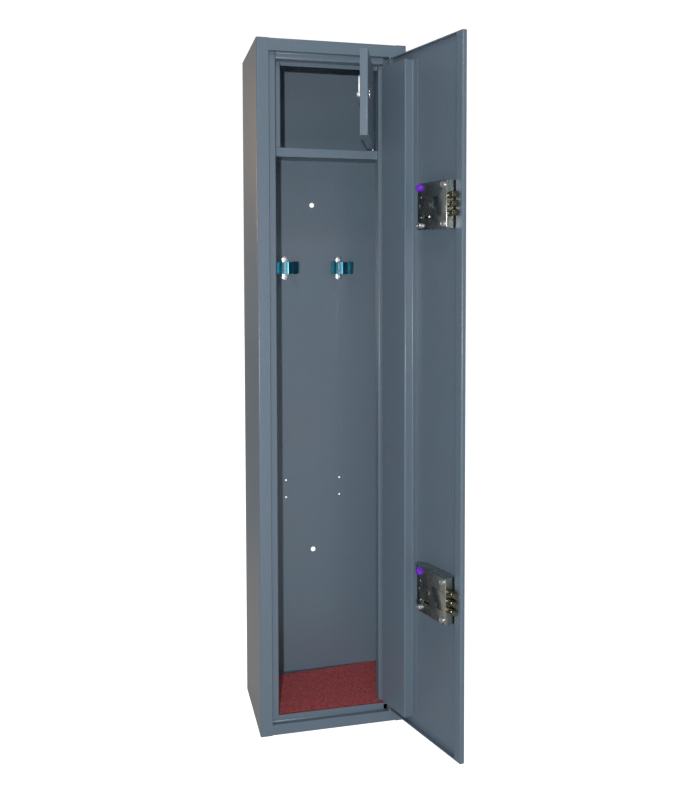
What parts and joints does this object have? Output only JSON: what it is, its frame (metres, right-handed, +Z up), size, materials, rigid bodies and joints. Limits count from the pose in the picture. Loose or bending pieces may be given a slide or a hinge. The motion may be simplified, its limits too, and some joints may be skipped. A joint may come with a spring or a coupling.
{
  "type": "gun safe",
  "caption": "Tall narrow sheet-steel gun safe with an inset locking door, an upper lockable compartment, sprung barrel clips and a carpeted floor.",
  "frame": {"origin": "middle of the cabinet's underside, on the floor it stands on", "axes": "+Z up, +X to the right of someone who faces the door, +Y towards the back wall"},
  "size_m": [0.3416, 0.4434, 1.37],
  "materials": {
    "blue_grey_powder_coat": "satin blue-grey powder coat",
    "burgundy_carpet": "short needle-punched pile",
    "zinc_plated_steel": "yellowish zinc plate, satin",
    "nickel_plated_bolt": "bright turned",
    "bright_turned_steel": "bright",
    "chromed_zinc_casting": "polished",
    "blue_spring_steel": "blue passivated, glossy",
    "sealing_lacquer": "glossy purple lacquer"
  },
  "bodies": {
    "cabinet": {"side_panel_left": "blue_grey_powder_coat", "side_panel_right": "blue_grey_powder_coat", "top_panel": "blue_grey_powder_coat", "base_panel": "blue_grey_powder_coat", "back_panel": "blue_grey_powder_coat", "floor_panel": "blue_grey_powder_coat", "stop_strip_left": "blue_grey_powder_coat", "stop_strip_right": "blue_grey_powder_coat", "stop_strip_top": "blue_grey_powder_coat", "sill_strip": "blue_grey_powder_coat", "treasury_shelf": "blue_grey_powder_coat", "treasury_jamb_left": "blue_grey_powder_coat", "treasury_jamb_top": "blue_grey_powder_coat", "treasury_hinge_bracket": "blue_grey_powder_coat", "carpet_mat": "burgundy_carpet", "hinge_pin_lower": "bright_turned_steel", "hinge_pin_upper": "bright_turned_steel", "hinge_washer": "bright_turned_steel", "treasury_pin_lower": "bright_turned_steel", "treasury_pin_upper": "bright_turned_steel", "clip_plate_left": "blue_spring_steel", "clip_plate_right": "blue_spring_steel", "clip_rivets": "bright_turned_steel"},
    "main_door": {"door_leaf": "blue_grey_powder_coat", "hinge_channel": "blue_grey_powder_coat", "door_bush_lower": "blue_grey_powder_coat", "door_bush_upper": "blue_grey_powder_coat", "lock_case_upper": "zinc_plated_steel", "lock_cover_upper": "zinc_plated_steel", "lock_screws_upper": "bright_turned_steel", "lock_seal_upper": "sealing_lacquer", "lever_post_upper": "bright_turned_steel", "escutcheon_upper": "nickel_plated_bolt", "lock_case_lower": "zinc_plated_steel", "lock_cover_lower": "zinc_plated_steel", "lock_screws_lower": "bright_turned_steel", "lock_seal_lower": "sealing_lacquer", "lever_post_lower": "bright_turned_steel", "escutcheon_lower": "nickel_plated_bolt"},
    "treasury_door": {"treasury_door": "blue_grey_powder_coat", "cam_lock_barrel": "chromed_zinc_casting", "cam_lock_nut": "chromed_zinc_casting"},
    "treasury_cam": {"cam_lock_plug": "chromed_zinc_casting", "cam_tongue": "zinc_plated_steel", "cam_screw": "zinc_plated_steel"},
    "upper_bolts": {"lock_bolts_upper": "nickel_plated_bolt", "bolt_bar_upper": "zinc_plated_steel"},
    "upper_levers": {"lock_levers_upper": "zinc_plated_steel"},
    "upper_keyhole_cover": {"keyhole_cover_upper": "nickel_plated_bolt"},
    "lower_bolts": {"lock_bolts_lower": "nickel_plated_bolt", "bolt_bar_lower": "zinc_plated_steel"},
    "lower_levers": {"lock_levers_lower": "zinc_plated_steel"},
    "lower_keyhole_cover": {"keyhole_cover_lower": "nickel_plated_bolt"},
    "left_clip_right_jaw": {"clip_left_jaw_right": "blue_spring_steel"},
    "left_clip_left_jaw": {"clip_left_jaw_left": "blue_spring_steel"},
    "right_clip_right_jaw": {"clip_right_jaw_right": "blue_spring_steel"},
    "right_clip_left_jaw": {"clip_right_jaw_left": "blue_spring_steel"}
  },
  "joints": [
    {"name": "main_door_hinge", "type": "hinge", "parent": "cabinet", "child": "main_door", "pos_m": [0.1185, -0.101, 0.022], "axis": [0, 0, 1], "range_deg": [-106.3, 4]},
    {"name": "treasury_door_hinge", "type": "hinge", "parent": "cabinet", "child": "treasury_door", "pos_m": [0.091, -0.0702, 1.1665], "axis": [0, 0, 1], "range_deg": [-70.8, 3]},
    {"name": "treasury_cam_turn", "type": "hinge", "parent": "treasury_door", "child": "treasury_cam", "pos_m": [0.04181, -0.22514, 1.246], "axis": [0.9444, -0.3289, 0], "range_deg": [0, 90]},
    {"name": "upper_bolts_slide", "type": "slide", "parent": "main_door", "child": "upper_bolts", "axis": [0.2807, -0.9598, 0], "range_m": [-0.02, 0]},
    {"name": "upper_levers_lift", "type": "hinge", "parent": "main_door", "child": "upper_levers", "pos_m": [0.15218, -0.23754, 1.0685], "axis": [-0.9598, -0.2807, 0], "range_deg": [0, 3], "stiffness_Nm_per_rad": 0.2, "springref_deg": -5.73},
    {"name": "upper_keyhole_cover_swing", "type": "hinge", "parent": "main_door", "child": "upper_keyhole_cover", "pos_m": [0.17095, -0.25184, 1.0405], "axis": [-0.9598, -0.2807, 0], "range_deg": [-100, 100]},
    {"name": "lower_bolts_slide", "type": "slide", "parent": "main_door", "child": "lower_bolts", "axis": [0.2807, -0.9598, 0], "range_m": [-0.02, 0]},
    {"name": "lower_levers_lift", "type": "hinge", "parent": "main_door", "child": "lower_levers", "pos_m": [0.15218, -0.23754, 0.348], "axis": [-0.9598, -0.2807, 0], "range_deg": [0, 3], "stiffness_Nm_per_rad": 0.2, "springref_deg": -5.73},
    {"name": "lower_keyhole_cover_swing", "type": "hinge", "parent": "main_door", "child": "lower_keyhole_cover", "pos_m": [0.17095, -0.25184, 0.32], "axis": [-0.9598, -0.2807, 0], "range_deg": [-100, 100]},
    {"name": "left_clip_right_jaw_spring", "type": "hinge", "parent": "cabinet", "child": "left_clip_right_jaw", "pos_m": [-0.0515, 0.1043, 0.931], "axis": [0, 0, 1], "range_deg": [0, 10], "stiffness_Nm_per_rad": 0.5},
    {"name": "left_clip_left_jaw_spring", "type": "hinge", "parent": "cabinet", "child": "left_clip_left_jaw", "pos_m": [-0.0695, 0.1043, 0.931], "axis": [0, 0, 1], "range_deg": [-10, 0], "stiffness_Nm_per_rad": 0.5},
    {"name": "right_clip_right_jaw_spring", "type": "hinge", "parent": "cabinet", "child": "right_clip_right_jaw", "pos_m": [0.0695, 0.1043, 0.931], "axis": [0, 0, 1], "range_deg": [0, 10], "stiffness_Nm_per_rad": 0.5},
    {"name": "right_clip_left_jaw_spring", "type": "hinge", "parent": "cabinet", "child": "right_clip_left_jaw", "pos_m": [0.0515, 0.1043, 0.931], "axis": [0, 0, 1], "range_deg": [-10, 0], "stiffness_Nm_per_rad": 0.5}
  ],
  "couplings": [
    {"joint": "treasury_door_hinge", "follows": "main_door_hinge", "ratio": 0.66604},
    {"joint": "left_clip_left_jaw_spring", "follows": "left_clip_right_jaw_spring", "ratio": -1},
    {"joint": "right_clip_left_jaw_spring", "follows": "right_clip_right_jaw_spring", "ratio": -1}
  ]
}
